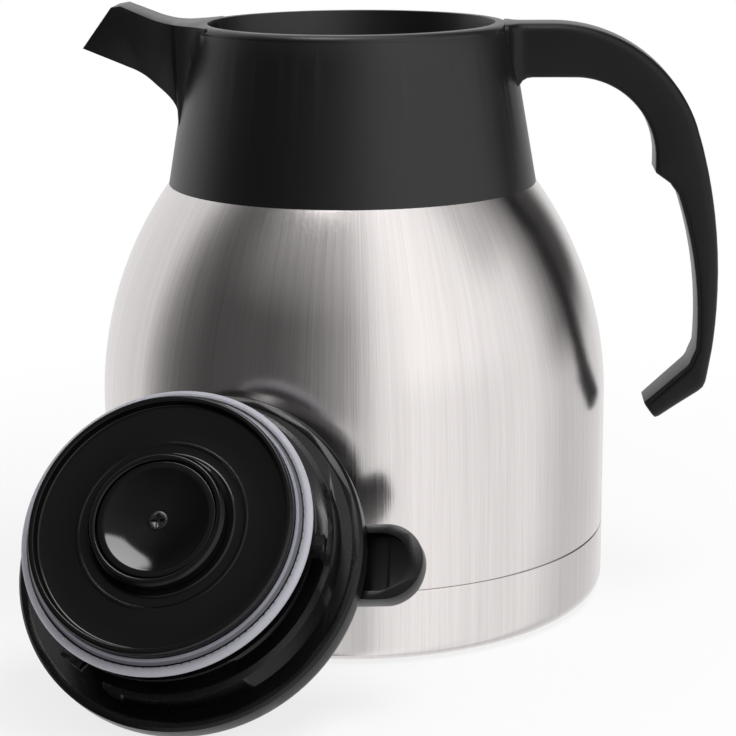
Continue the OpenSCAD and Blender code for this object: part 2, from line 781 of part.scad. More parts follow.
module thumb_lever() {
  color("#222226") leaning() difference() {
    union() {
      difference() {
        intersection() {
          along_y(lever_w) lever_side_2d();
          linear_extrude(height = 20) lever_plan(0);
        }
        intersection() {
          along_y(lever_w) lever_hollow_2d();
          linear_extrude(height = 20) lever_plan(lever_t);
        }
        translate([0, 0, tab_under - 1]) linear_extrude(height = 2.8) lever_plan(lever_t);
      }
      difference() {
        translate([fork_tip, 0.5 - lever_w / 2, fork_z - fork_t]) cube([8, lever_w - 1, fork_t]);
        translate([-10, -stem_r - 0.5, 0]) cube([13, 2 * stem_r + 1, 20]);
      }
    }
    translate([pin_x, 0, pin_z]) rotate([90, 0, 0])
      cylinder(r = pin_r + pin_fit, h = 2 * lever_w, center = true, $fn = 48);
  }
}

// Valve

module valve_head() {
  color("#1c1c20") leaning() rotate_extrude() difference() {
    union() {
      polygon([
        [0, valve_z], [valve_r, valve_z], [valve_top_r, -plug_h], [valve_top_r, valve_flange + 0.2],
        [0, valve_flange + 0.2]
      ]);
      translate([0, valve_flange]) square([valve_flange_r, valve_flange_t]);
    }
    translate([7.2, valve_z + dish_depth + 2]) square([4.6, 20]);
    translate([0, valve_z - 5]) square([2.5, screw_z - valve_z + 5]);
    translate([0, valve_z]) square([1.15, 20]);
    translate([0, screw_z + 2]) square([stem_r, 20]);
    translate([0, valve_z + dish_depth - dish_r]) circle(r = dish_r, $fn = 720);
  }
}

module valve_seal() {
  color("white") leaning() ring(valve_top_r, valve_flange_r - 0.3, -plug_h, valve_flange);
}

module valve_stem() {
  color("silver") leaning() rotate_extrude($fn = 48) difference() {
    translate([0, screw_z + 2]) square([stem_r, head_z + 0.8 - screw_z - 2]);
    translate([0, screw_z]) square([1.1, 9]);
  }
}

module stem_cap() {
  color("silver") leaning() rotate_extrude($fn = 72) difference() {
    translate([0, head_z]) square([head_r, head_t]);
    translate([0, head_z - 1]) square([stem_r, 1.8]);
  }
}

module valve_screw() {
  color("silver") leaning() difference() {
    rotate_extrude($fn = 48) {
      translate([0, screw_z - 1.5]) square([2.4, 1.5]);
      translate([0, screw_z - 0.5]) square([1.1, 8]);
    }
    for (a = [0, 90]) rotate([0, 0, a]) translate([-1.6, -0.35, screw_z - 2.5]) cube([3.2, 0.7, 1.7]);
  }
}

base_cup();
outer_shell();
inner_liner();
neck_ring();
neck_gasket();
collar();
handle();
plug_body();
plug_floor();
stopper_gasket();
guide_bush();
lid_cover();
lever_pin();
valve_spring();
thumb_lever();
valve_head();
valve_seal();
valve_stem();
stem_cap();
valve_screw();
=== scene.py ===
# %% [markdown]
# # A vacuum jug with its stopper lid taken out
# This script dresses a measured model of a steel jug in Blender. The measured model comes in as a fixed
# frame, and every piece made here is laid over it in the same place, in metres. Each step has a short
# note like this one, which says what the real thing is, how it could be made and why this way was taken.

# %% Load the measured frame
import json
import math

import bmesh
import bpy
from mathutils import Matrix, Vector


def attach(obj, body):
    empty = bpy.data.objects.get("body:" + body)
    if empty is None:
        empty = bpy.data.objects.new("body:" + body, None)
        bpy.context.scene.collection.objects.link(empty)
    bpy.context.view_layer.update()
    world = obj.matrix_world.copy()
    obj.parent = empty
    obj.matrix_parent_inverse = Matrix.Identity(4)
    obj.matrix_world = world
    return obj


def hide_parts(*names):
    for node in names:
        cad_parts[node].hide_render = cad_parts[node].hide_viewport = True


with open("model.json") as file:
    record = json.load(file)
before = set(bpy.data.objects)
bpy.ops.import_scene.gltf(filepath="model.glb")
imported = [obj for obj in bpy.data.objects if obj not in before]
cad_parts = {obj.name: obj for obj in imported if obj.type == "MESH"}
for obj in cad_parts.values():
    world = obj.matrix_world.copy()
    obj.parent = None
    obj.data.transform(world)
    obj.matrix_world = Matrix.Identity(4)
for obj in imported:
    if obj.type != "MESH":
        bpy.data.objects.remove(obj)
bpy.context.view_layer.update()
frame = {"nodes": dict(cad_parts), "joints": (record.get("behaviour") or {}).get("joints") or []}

# %% [markdown]
# ## Sizes
# The sizes are those of the measured model, in millimetres, because that is how the jug was measured.
# They could be read off its meshes, but named numbers are easier to follow and to check on a real jug.
# Blender works in metres here, so every length is turned into metres at the moment it becomes a mesh.

# %% The sizes of the jug
MM = 0.001
STEEL = 0.9
BODY_R = 70.0
INSIDE_R = BODY_R - STEEL
CUP_EDGE = 19.38
WALL_FOOT = 19.42
SHOULDER_Z = 55.0
COLLAR_FOOT = (50.4, 114.9)
NECK_R = 38.0
NECK_TOP = 143.3
RIM_R = 42.9
RIM_Z = 158.0

shoulder_rise = COLLAR_FOOT[1] - SHOULDER_Z
shoulder_drop = BODY_R - COLLAR_FOOT[0]
SHOULDER_R = (shoulder_rise**2 + shoulder_drop**2) / (2 * shoulder_drop)
SHOULDER_X = BODY_R - SHOULDER_R
print("the shoulder is one curve with a radius of", round(SHOULDER_R, 1), "mm")

# %% [markdown]
# ## Where the lid leans
# The lid was lifted out and leans on the jug's front with its underside showing. Its pieces are drawn
# upright, as they sit in the mouth, and then laid over. The record's joints say which way the lid faces
# and where its lever's pin is, so the lean is worked out from them and can't drift from the model.

# %% The lid's own directions and its middle
PIN_X = 26.0
PIN_Z = 8.6

joints = {joint["name"]: joint for joint in frame["joints"]}
lid_up = Vector(joints["valve_lift"]["axis"]).normalized()
lid_side = Vector(joints["lever_press"]["axis"]).normalized()
lid_out = lid_side.cross(lid_up)
lid_middle = Vector(joints["lever_press"]["pos_m"]) - (lid_out * PIN_X + lid_up * PIN_Z) * MM
LEANING = Matrix((lid_out, lid_side, lid_up)).transposed().to_4x4()
LEANING.translation = lid_middle
print("the lid's middle lies at", [round(v, 4) for v in lid_middle])

# %% [markdown]
# ## Shader maths in plain sums
# A Blender material is a net of nodes. Wiring dozens of Math nodes by hand hides what they work out, so
# one small class wraps a socket and lets Python's own signs add the nodes. Colours and vectors keep
# their own nodes, because a Math node would turn a colour grey.


# %% A socket that can be added and multiplied
class Wire:
    def __init__(self, net, socket):
        self.net, self.socket = net, socket

    def maths(self, operation, first, second=0.0):
        return self.net.add("ShaderNodeMath", {"operation": operation}, {0: first, 1: second})

    def __add__(self, other):
        return self.maths("ADD", self, other)

    __radd__ = __add__

    def __mul__(self, other):
        return self.maths("MULTIPLY", self, other)

    __rmul__ = __mul__

    def __sub__(self, other):
        return self.maths("SUBTRACT", self, other)

    def __rsub__(self, other):
        return self.maths("SUBTRACT", other, self)

    def __truediv__(self, other):
        return self.maths("DIVIDE", self, other)

    def root(self):
        return self.maths("SQRT", self)

    def clamp(self, low, high):
        return self.maths("MINIMUM", self.maths("MAXIMUM", self, low), high)

    def between(self, low, high):
        """0 below low, 1 above high and straight between them."""
        return ((self - low) / (high - low)).clamp(0.0, 1.0)

    def rise_and_fall(self, start, full, fade, gone):
        """0 up to start, 1 from full to fade, and 0 again from gone on."""
        return self.between(start, full) * (1 - self.between(fade, gone))


print("a wire knows", [name for name in vars(Wire) if not name.startswith("__")], "and the signs + - * /")

# %% [markdown]
# ## A net of nodes
# Materials and the room both need nodes, so one class adds them. It takes a node's type, its settings
# and what goes into its sockets, which may be plain values or wires. The usual node calls would do the
# same in four lines for each node, and the sums would drown in them.


# %% A net, for a material or for the room
class Net:
    def __init__(self, tree):
        self.tree = tree
        tree.nodes.clear()

    def feed(self, socket, value):
        if isinstance(value, Wire):
            self.tree.links.new(value.socket, socket)
        else:
            socket.default_value = value

    def add(self, kind, settings=None, inputs=None, output=0):
        node = self.tree.nodes.new(kind)
        for name, value in (settings or {}).items():
            if name == "stops":
                self.lay_stops(node.color_ramp, value)
            else:
                setattr(node, name, value)
        for name, value in (inputs or {}).items():
            self.feed(node.inputs[name], value)
        return Wire(self, node.outputs[output])

    def lay_stops(self, ramp, stops):
        while len(ramp.elements) > 1:
            ramp.elements.remove(ramp.elements[0])
        ramp.elements[0].position, ramp.elements[0].color = stops[0]
        for place, colour in stops[1:]:
            ramp.elements.new(place).color = colour

    def parts(self, vector):
        return [self.add("ShaderNodeSeparateXYZ", None, {0: vector}, i) for i in range(3)]

    def vector(self, operation, *values, output=0):
        return self.add("ShaderNodeVectorMath", {"operation": operation}, dict(enumerate(values)), output)

    def noise(self, vector, scale, detail=2.0, rough=0.5):
        inputs = {"Vector": vector, "Scale": scale, "Detail": detail, "Roughness": rough}
        return self.add("ShaderNodeTexNoise", None, inputs)

    def mix(self, factor, first, second):
        return self.add("ShaderNodeMix", {"data_type": "RGBA"}, {0: factor, 6: first, 7: second}, 2)


print("a net can add", [name for name in vars(Net) if not name.startswith("__")])

# %% [markdown]
# ## A finish to start from
# Every surface here is one Principled shader. The finish class sets its fixed values, and gives the
# place on the piece, in metres, from which patterns are read. The place is used and not an unwrapped
# map, because dust, grain and brush lines on a real piece don't follow a map either.


# %% A finish with its place and its bump
class Finish(Net):
    def __init__(self, name, constants):
        self.material = bpy.data.materials.new(name)
        self.material.use_nodes = True
        super().__init__(self.material.node_tree)
        self.shader = self.tree.nodes.new("ShaderNodeBsdfPrincipled")
        self.surface = self.tree.nodes.new("ShaderNodeOutputMaterial").inputs["Surface"]
        self.tree.links.new(self.shader.outputs[0], self.surface)
        for socket, value in constants.items():
            self.shader.inputs[socket].default_value = value
        self.place = self.add("ShaderNodeTexCoord", output=3)

    def set(self, **links):
        for name, value in links.items():
            self.feed(self.shader.inputs[name.replace("_", " ")], value)

    def bump(self, height, strength, distance):
        inputs = {"Height": height, "Strength": strength, "Distance": distance}
        return self.add("ShaderNodeBump", None, inputs)


print("a finish can also", [name for name in vars(Finish) if not name.startswith("__")])

# %% [markdown]
# ## Brushed steel
# The jug's wall was brushed upright, so it shows fine lines from top to bottom that follow the wall
# over the shoulder. The lines come from noise that is read by the direction round the jug, stretched
# along its height: the direction is the place with its height taken out, brought to length one, so the
# lines run true on the straight wall and on the curve, and no seam shows where the angle starts again.

# %% The recipe of a brushed surface
BROAD_LINES = (34.0, 9.0)
FINE_LINES = (150.0, 26.0)
HAIR_LINES = (420.0, 60.0)


def brushed_steel(name, pale, dark, rough, streaks):
    finish = Finish(name, {"Metallic": 1.0})
    round_about = finish.vector("NORMALIZE", finish.vector("MULTIPLY", finish.place, (1, 1, 0)))

    def lines(across, along):
        wide = finish.vector("MULTIPLY", round_about, (across, across, 0))
        tall = finish.vector("MULTIPLY", finish.place, (0, 0, along))
        return finish.vector("ADD", wide, tall)

    broad = finish.noise(lines(*BROAD_LINES), 1.0)
    fine = finish.noise(lines(*FINE_LINES), 1.0, 3.0, 0.65)
    hair = finish.noise(lines(*HAIR_LINES), 1.0)
    worn = finish.noise(finish.place, 22.0, 3.0)
    shade = (broad * 0.35 + fine * 0.45 + hair * 0.2).between(0.30, 0.70)
    finish.set(
        Base_Color=finish.mix(shade, dark, pale),
        Roughness=rough + (fine - 0.5) * 0.12 * streaks + (worn - 0.5) * 0.04,
        Normal=finish.bump(fine * 0.6 + hair * 0.4, 0.35 * streaks, 0.00006),
    )
    return finish.material


print(f"about {FINE_LINES[0]:.0f} fine lines for each radian round the jug")

# %% [markdown]
# ## The three steels
# The outside is bright and takes clear reflections. The flask is satin, and the small fittings were
# turned on a lathe. All three share the recipe, because they differ only in shade, in how far they
# spread a reflection and in how deep their lines are.

# %% The steel of the outside, the flask and the fittings
steel_outside = brushed_steel(
    "brushed_steel_outside", (0.80, 0.765, 0.755, 1), (0.66, 0.625, 0.615, 1), rough=0.17, streaks=1.0
)
steel_flask = brushed_steel(
    "satin_steel_flask", (0.72, 0.71, 0.70, 1), (0.62, 0.61, 0.60, 1), rough=0.30, streaks=0.5
)
steel_small = brushed_steel(
    "turned_steel_fittings", (0.72, 0.71, 0.70, 1), (0.60, 0.59, 0.58, 1), rough=0.24, streaks=0.3
)
print("steel finishes:", steel_outside.name, steel_flask.name, steel_small.name)

# %% [markdown]
# ## Moulded plastics
# The collar and handle are satin mouldings with a very fine grain, which spreads a highlight without
# showing as texture from arm's length. A cloud of noise makes the black a little uneven, as worn
# plastic is, a speck gives the grain, and scuffs dull it in patches. A picture of real plastic would do
# too, but noise has no seams and stays sharp close up.


# %% The recipe of a moulding
def moulded(name, dark, pale, rough, grain, specular=0.5):
    finish = Finish(name, {"Specular IOR Level": specular})
    cloud = finish.noise(finish.place, 35.0, 3.0)
    speck = finish.noise(finish.place, 2600.0)
    scuff = finish.noise(finish.place, 240.0, 4.0, 0.7).between(0.55, 0.8)
    finish.set(
        Base_Color=finish.mix(cloud * 0.6 + speck * 0.4, dark, pale),
        Roughness=rough + (cloud - 0.5) * 0.08 + scuff * 0.04,
        Normal=finish.bump(speck, grain, 0.00003),
    )
    return finish.material


SOFT_BLACK = (0.0030, 0.0030, 0.0034, 1)
print("the mouldings' darkest shade is", SOFT_BLACK[:3])

# %% [markdown]
# ## The blacks and the pale plastics
# Seen together the blacks are not alike: the collar is satin, the handle a shade duller, the lid
# smoother and the stopper's plate and disc are polished like glass. Each gets its own numbers, since
# that difference is what tells the pieces apart in the dark. The hidden seals and guide are pale.

# %% Five blacks, the silicone of the seals and the guide's plastic
black_satin = moulded(
    "black_satin_moulding", SOFT_BLACK, (0.0055, 0.0055, 0.0066, 1), rough=0.36, grain=0.45
)
black_handle = moulded(
    "black_handle_moulding", SOFT_BLACK, (0.0055, 0.0055, 0.0064, 1), rough=0.34, grain=0.45, specular=0.26
)
black_lid = moulded(
    "black_lid_moulding", (0.0020, 0.0020, 0.0022, 1), (0.0040, 0.0038, 0.0042, 1),
    rough=0.27, grain=0.25, specular=0.30,
)
black_gloss = moulded(
    "black_gloss_moulding", (0.0008, 0.0008, 0.0010, 1), (0.0016, 0.0016, 0.0020, 1),
    rough=0.07, grain=0.03, specular=0.30,
)
black_screw = moulded(
    "blackened_screw", SOFT_BLACK, (0.0060, 0.0060, 0.0066, 1), rough=0.26, grain=0.20, specular=0.4
)
silicone = moulded(
    "pale_silicone", (0.36, 0.37, 0.41, 1), (0.45, 0.46, 0.51, 1), rough=0.42, grain=0.15, specular=0.4
)
guide_plastic = moulded(
    "natural_guide_plastic", (0.52, 0.50, 0.44, 1), (0.62, 0.60, 0.54, 1), rough=0.45, grain=0.2
)
blacks = (black_satin, black_handle, black_lid, black_gloss, black_screw)
print("blacks:", ", ".join(black.name for black in blacks), "and pale:", silicone.name, guide_plastic.name)

# %% [markdown]
# ## Drawing an outline with rounded corners
# Most pieces were turned or moulded round an axis, so each is drawn as the outline of a cut through
# it, from its axis outwards. Real edges are never sharp: a corner is given as a place and the radius
# of its rounding, and the helper lays an arc of short steps into it. A bevel on the finished piece
# could do it too, but here each corner needs its own radius.


# %% Arcs and rounded corners
def arc(centre, radius, start, stop, steps):
    """Points on an arc, counted in degrees from the outward direction, upwards."""
    turns = [math.radians(start + (stop - start) * i / steps) for i in range(steps + 1)]
    return [(centre[0] + radius * math.cos(t), centre[1] + radius * math.sin(t)) for t in turns]


def rounded(corners, steps):
    """A closed outline. Each corner is (across, up) or (across, up, radius of its rounding)."""
    outline = []
    for i, corner in enumerate(corners):
        here = Vector(corner[:2])
        radius = corner[2] if len(corner) > 2 else 0.0
        if radius == 0.0:
            outline.append(tuple(here))
            continue
        back = (Vector(corners[i - 1][:2]) - here).normalized()
        ahead = (Vector(corners[(i + 1) % len(corners)][:2]) - here).normalized()
        half = back.angle(ahead) / 2
        centre = here + (back + ahead).normalized() * (radius / math.sin(half))
        start = here + back * (radius / math.tan(half)) - centre
        stop = here + ahead * (radius / math.tan(half)) - centre
        swing = start.angle_signed(stop)
        for k in range(steps + 1):
            turn = Matrix.Rotation(-swing * k / steps, 2)
            outline.append(tuple(centre + turn @ start))
    return outline


print("a quarter of a 10 mm circle:", [(round(x, 1), round(z, 1)) for x, z in arc((0, 0), 10, 0, 90, 2)])

# %% [markdown]
# ## Finishing a piece
# Each made piece ends the same way: it is laid over if it belongs to the lid, smoothed except at its
# sharp edges, coloured, and tied to the body that it moves with. It also names the measured pieces
# that it stands for, so that they don't show through it. One helper does this, so none is forgotten.

# %% The helper that finishes a piece
MERGE = 2e-6


def only(obj):
    """Selects one object and makes it active."""
    if bpy.context.mode != "OBJECT":
        bpy.ops.object.mode_set(mode="OBJECT")
    bpy.ops.object.select_all(action="DESELECT")
    obj.select_set(True)
    bpy.context.view_layer.objects.active = obj


def finish_piece(obj, material, body, nodes, angle=32.0, leaning=False):
    """Gives a made piece its place, smoothness, finish, body and the nodes that it stands for."""
    only(obj)
    if leaning:
        obj.matrix_world = LEANING
        bpy.ops.object.transform_apply(location=True, rotation=True, scale=True)
    bpy.ops.object.shade_smooth_by_angle(angle=math.radians(angle))
    obj.data.materials.clear()
    obj.data.materials.append(material)
    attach(obj, body)
    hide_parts(*nodes)
    print(f"{obj.name}: {len(obj.data.polygons)} faces on {body}")


print("points closer than", MERGE / MM, "mm are merged into one")

# %% [markdown]
# ## Turning an outline into a piece
# A ring of points is added and pulled into the outline, then the spin tool carries it round the axis.
# The last copy meets the first, so their points are merged, and the faces are turned outwards. A
# screw modifier would do the same, but the spin leaves plain faces that the next tools can work on.


# %% The turning helper
def turned(name, outline, steps=192):
    """Spins a closed outline, in millimetres, round the upright axis."""
    bpy.ops.object.select_all(action="DESELECT")
    bpy.ops.mesh.primitive_circle_add(vertices=len(outline), radius=MM, location=(0, 0, 0))
    obj = bpy.context.object
    obj.name = name
    bpy.ops.object.mode_set(mode="EDIT")
    mesh = bmesh.from_edit_mesh(obj.data)
    for point, (across, up) in zip(mesh.verts, outline):
        point.co = Vector((across, 0, up)) * MM
    bmesh.update_edit_mesh(obj.data)
    bpy.ops.mesh.select_all(action="SELECT")
    bpy.ops.mesh.spin(steps=steps, angle=2 * math.pi, center=(0, 0, 0), axis=(0, 0, 1))
    bpy.ops.mesh.select_all(action="SELECT")
    bpy.ops.mesh.remove_doubles(threshold=MERGE)
    bpy.ops.mesh.delete_loose(use_faces=False)
    bpy.ops.mesh.normals_make_consistent(inside=False)
    bpy.ops.object.mode_set(mode="OBJECT")
    print(f"{name}: an outline of {len(outline)} points, turned in {steps} steps")
    return obj


# %% [markdown]
# ## The steel wall
# The outer wall is drawn steel: straight below, then one long arc up to the collar, and a neck inside
# the collar. It is a real shell here, with an inner face one wall behind the outer one, and its lower
# edge is rolled in a little, which makes one side of the fine dark line round the jug.


# %% The outer wall
def shoulder(inset, stop_r, steps):
    """The long curve, set in by a distance, from the straight wall up to a stopping radius."""
    top = math.degrees(math.acos((stop_r - SHOULDER_X) / (SHOULDER_R - inset)))
    return arc((SHOULDER_X, SHOULDER_Z), SHOULDER_R - inset, 0, top, steps)


ROLLED_EDGE = [(0.38, 0.0), (0.22, 0.04), (0.07, 0.2), (0.0, 0.48)]
STRAIGHT = (30.0, 43.0)
wall_outline = [(BODY_R - inward, WALL_FOOT + up) for inward, up in ROLLED_EDGE]
wall_outline += [(BODY_R, up) for up in STRAIGHT] + shoulder(0.0, NECK_R, 36)
wall_outline += [(NECK_R, NECK_TOP), (NECK_R - STEEL, NECK_TOP)]
wall_outline += shoulder(STEEL, NECK_R - STEEL, 30)[::-1]
wall_outline += [(INSIDE_R, up) for up in STRAIGHT[::-1]] + [(INSIDE_R, WALL_FOOT)]
outer_wall = turned("outer_wall", wall_outline, 256)
finish_piece(outer_wall, steel_outside, "jug", ["outer_shell"])

# %% [markdown]
# ## The base cup
# The base is a separate pressing with a foot ring and a raised middle. Its edge meets the wall in the
# dark line, and a tongue above the edge holds the wall from inside. It could be cut from the wall's
# mesh, but then the line would be painted on. Two turned pieces make a true gap that the light enters.

# %% The base cup
FOOT_RING_R = 48.0
RAISED = 2.0
TONGUE_R = INSIDE_R - STEEL
TONGUE = (16.4, 22.4)

cup_outline = rounded(
    [
        (0, RAISED), (FOOT_RING_R, RAISED, 0.8), (FOOT_RING_R, 0, 0.6), (BODY_R, 0, 5.0),
        (BODY_R, CUP_EDGE, 0.3), (INSIDE_R + 0.02, CUP_EDGE), (INSIDE_R, TONGUE[1]), (TONGUE_R, TONGUE[1]),
        (TONGUE_R, TONGUE[0]), (INSIDE_R, TONGUE[0]), (INSIDE_R, STEEL, 5.0 - STEEL),
        (FOOT_RING_R + STEEL, STEEL), (FOOT_RING_R + STEEL, RAISED + STEEL), (0, RAISED + STEEL),
    ],
    8,
)
base_cup_skin = turned("base_cup_skin", cup_outline, 256)
finish_piece(base_cup_skin, steel_outside, "jug", ["base_cup"])

# %% [markdown]
# ## The flask inside
# The inner wall is what the drink touches. It shows through the mouth from above, so it is turned as
# a shell with its rounded bottom, its shoulder and the rolled lip that joins it to the outer wall.
# The outer wall's curve, set in by the gap, gives its shoulder, so the two walls keep their distance.

# %% The inner flask
GAP = 5.4
FLASK_CORNER = (54.6, 17.4)
CORNER_R = 10.0
FLASK_NECK_R = 35.8
LIP_TOP = NECK_TOP + STEEL

flask_bottom = FLASK_CORNER[1] - CORNER_R
inner_side = arc(FLASK_CORNER, CORNER_R - STEEL, -90, 0, 10) + shoulder(GAP + STEEL, FLASK_NECK_R, 26)
inner_side += [(FLASK_NECK_R, LIP_TOP)]
outer_side = [(NECK_R, LIP_TOP), (NECK_R, NECK_TOP), (FLASK_NECK_R + STEEL, NECK_TOP)]
outer_side += shoulder(GAP, FLASK_NECK_R + STEEL, 26)[::-1] + arc(FLASK_CORNER, CORNER_R, 0, -90, 10)
flask_outline = [(0, flask_bottom + STEEL)] + inner_side + outer_side + [(0, flask_bottom)]
flask = turned("inner_flask", flask_outline, 160)
finish_piece(flask, steel_flask, "jug", ["inner_liner"])

# %% [markdown]
# ## Mouldings with many features
# The collar, the stopper's body and the lever have ledges, gaps, lugs and windows that the measured
# model already carries. A copy of its mesh is merged into one skin, its flat faces are joined again,
# and a bevel breaks every edge, because a moulding's edges are always a little round. Drawing them all
# again would take long and could only drift from the measured shape.


# %% Copies of the measured mouldings, with broken edges
def moulded_copy(node, name, edge, material, body, steps=2, shape=None):
    obj = bpy.data.objects.new(name, frame["nodes"][node].data.copy())
    bpy.context.scene.collection.objects.link(obj)
    only(obj)
    bpy.ops.object.mode_set(mode="EDIT")
    bpy.ops.mesh.select_all(action="SELECT")
    bpy.ops.mesh.remove_doubles(threshold=MERGE)
    if shape:
        shape(obj)
    bpy.ops.mesh.select_all(action="SELECT")
    bpy.ops.mesh.dissolve_limited(angle_limit=math.radians(0.3))
    bpy.ops.object.mode_set(mode="OBJECT")
    bevel = obj.modifiers.new("edges", "BEVEL")
    bevel.width = edge * MM
    bevel.segments = steps
    bevel.limit_method = "ANGLE"
    bevel.angle_limit = math.radians(28.0)
    bpy.ops.object.modifier_apply(modifier=bevel.name)
    finish_piece(obj, material, body, [node])


print("the collar's measured mesh has", len(frame["nodes"]["collar"].data.polygons), "loose triangles")

# %% [markdown]
# ## The root of the spout
# Under the spout a curve runs down and flows out into the collar's wall with no step. The wall is
# round and the curve's band is flat across, so the band is first cut into narrow strips. Then every
# point near the root is drawn back to the wall, all the way at the foot and not at all higher up.
# Smoothing the whole collar would be quicker, but it would also soften the rim.


# %% Drawing the spout's foot back to the wall
def cut_into_strips(obj, foot_z):
    for cut in (-9.0, -6.0, -3.0, 0.0, 3.0, 6.0, 9.0):
        mesh = bmesh.from_edit_mesh(obj.data)
        bpy.ops.mesh.select_all(action="DESELECT")
        for face in mesh.faces:
            middle = face.calc_center_median() / MM
            face.select_set(middle.x < -46.5 and abs(middle.y) < 11.5 and foot_z - 0.2 < middle.z < 147.0)
        bmesh.update_edit_mesh(obj.data)
        bpy.ops.mesh.bisect(plane_co=(0, cut * MM, 0), plane_no=(0, 1, 0))


def run_out_spout(obj):
    foot_z, free_z = 131.0, 143.0
    cut_into_strips(obj, foot_z)
    mesh = bmesh.from_edit_mesh(obj.data)
    moved = 0
    for point in mesh.verts:
        x, y, z = point.co / MM
        reach = math.hypot(x, y)
        wall = RIM_R + (COLLAR_FOOT[0] - RIM_R) * (RIM_Z - z) / (RIM_Z - COLLAR_FOOT[1])
        if x < -44.0 and abs(y) < 13.0 and foot_z - 0.1 < z < free_z and reach > wall + 0.02:
            share = max(0.0, min(1.0, (z - foot_z) / (free_z - foot_z)))
            share = share * share * (3 - 2 * share)
            keep = (wall + (reach - wall) * share) / reach
            point.co.x *= keep
            point.co.y *= keep
            moved += 1
    bmesh.update_edit_mesh(obj.data)
    print("points drawn back at the spout's root:", moved)


moulded_copy("collar", "collar_skin", 0.35, black_satin, "jug", shape=run_out_spout)

# %% [markdown]
# ## The lid's mouldings
# The stopper's body goes down into the mouth, with its lugs and its pouring window. The cover closes
# it from above, and the lever's rounded tab sticks out past the rim for the thumb. The lever is held
# and pressed all day, so its edges are the roundest, with one step more in the bevel.

# %% The stopper's body, the lever and the cover
plug_edge, lever_edge, cover_edge = 0.25, 0.45, 0.3
moulded_copy("plug_body", "stopper_skin", plug_edge, black_lid, "lid")
moulded_copy("thumb_lever", "lever_skin", lever_edge, black_lid, "lever", steps=3)
moulded_copy("lid_cover", "cover_skin", cover_edge, black_lid, "lid")

# %% [markdown]
# ## How the handle is built
# The handle is one open bar: flat on top, a wide bend, a long gentle curve down to a hooked end, and
# a small step inside for the finger. It is built as it would be cut from clay, as a row of rounded
# sections. A ring is added and pulled into the first section, and each extrusion makes the next. A
# swept curve would keep one section all along, but this bar gets wider, thinner and tapers at its end.


# %% The row of sections
def row_of_sections(name, rings):
    """Extrudes a filled ring from section to section. Each ring has the same number of points."""
    bpy.ops.object.select_all(action="DESELECT")
    bpy.ops.mesh.primitive_circle_add(vertices=len(rings[0]), radius=MM, fill_type="NGON")
    obj = bpy.context.object
    obj.name = name
    bpy.ops.object.mode_set(mode="EDIT")
    mesh = bmesh.from_edit_mesh(obj.data)
    mesh.verts.ensure_lookup_table()
    ring = list(mesh.verts)
    for point, place in zip(ring, rings[0]):
        point.co = Vector(place) * MM
    for places in rings[1:]:
        old = {point: k for k, point in enumerate(ring)}
        bpy.ops.mesh.extrude_region_move()
        mesh = bmesh.from_edit_mesh(obj.data)
        fresh = [None] * len(places)
        for point in (p for p in mesh.verts if p.select):
            before = next(e.other_vert(point) for e in point.link_edges if e.other_vert(point) in old)
            fresh[old[before]] = point
        for point, place in zip(fresh, places):
            point.co = Vector(place) * MM
        ring = fresh
    bmesh.update_edit_mesh(obj.data)
    bpy.ops.mesh.select_all(action="SELECT")
    bpy.ops.mesh.remove_doubles(threshold=MERGE / 2)
    bpy.ops.mesh.normals_make_consistent(inside=False)
    bpy.ops.object.mode_set(mode="OBJECT")
    print(f"{name}: {len(rings)} sections of {len(rings[0])} points")
    return obj


# %% [markdown]
# ## The handle's lines
# From the side, the handle's outer line is a bend that runs on into a much flatter curve down the
# back. Its inner line is a smaller bend, a step, and the hollow of the grip. Both are laid out as a
# draughtsman would, from a few circles, and the two curves of the back join where they share a slope.

# %% The circles that the handle is drawn from
HALF_W = 8.0
UNDERSIDE = 143.6
ROOT_R = 3.6
UNDER_ROOT = 45.2
BEND, BEND_R, JOIN = (54.4, 116.5), 41.5, 17.0
INNER_BEND, INNER_R = (60.3, 121.5), 22.1
GRIP, GRIP_R = (-13.1, 76.0), 108.0
BACK_R = 143.5


def on_circle(centre, radius, turn):
    return arc(centre, radius, turn, turn, 1)[0]


def at_height(centre, radius, up):
    return (centre[0] + math.sqrt(radius**2 - (up - centre[1]) ** 2), up)


BACK = on_circle(BEND, BEND_R - BACK_R, JOIN)
print("the handle reaches", round(BACK[0] + BACK_R, 1), "mm from the jug's axis")

# %% [markdown]
# ## The handle's root and bend
# Where the bar meets the collar it widens in a hollow rounding, as mouldings do at a joint that takes
# load. Then the outer and the inner line go round the bend together, a section at every step. Each
# section holds an outer point, an inner point and half its width.

# %% Sections from the collar round the bend
BEND_STEPS = 24


def hollow(share):
    """How far the rounding at the root stands out: nothing at its start and its radius at the wall."""
    share = max(0.0, min(1.0, share))
    return ROOT_R * (1 - math.sqrt(1 - share**2))


sections = []
for across in (41.4, 42.4, 43.2, 43.9, 44.6, 45.4, 46.4, 47.6, 49.0):
    wider = hollow(1 - (across - RIM_R) / ROOT_R)
    lower = hollow(1 - (across - UNDER_ROOT) / ROOT_R)
    sections.append(((across, RIM_Z), (across, UNDERSIDE - lower), HALF_W + wider))
sections += [((51.5, RIM_Z), (52.0, UNDERSIDE), HALF_W), ((54.4, RIM_Z), (56.0, UNDERSIDE), HALF_W)]
for k in range(1, BEND_STEPS):
    gone = k / BEND_STEPS
    outer = on_circle(BEND, BEND_R, 90 - (90 - JOIN) * gone)
    inner_turn = 90 - 100.0 * gone + 4.0 * math.sin(math.pi * gone)
    inner = on_circle(INNER_BEND, INNER_R, inner_turn)
    if inner_turn < -1:
        inner = (INNER_BEND[0] + INNER_R, INNER_BEND[1] - 3.5 * (k - 21) / 3)
    sections.append((outer, inner, HALF_W))
print("sections from the collar round the bend:", len(sections))

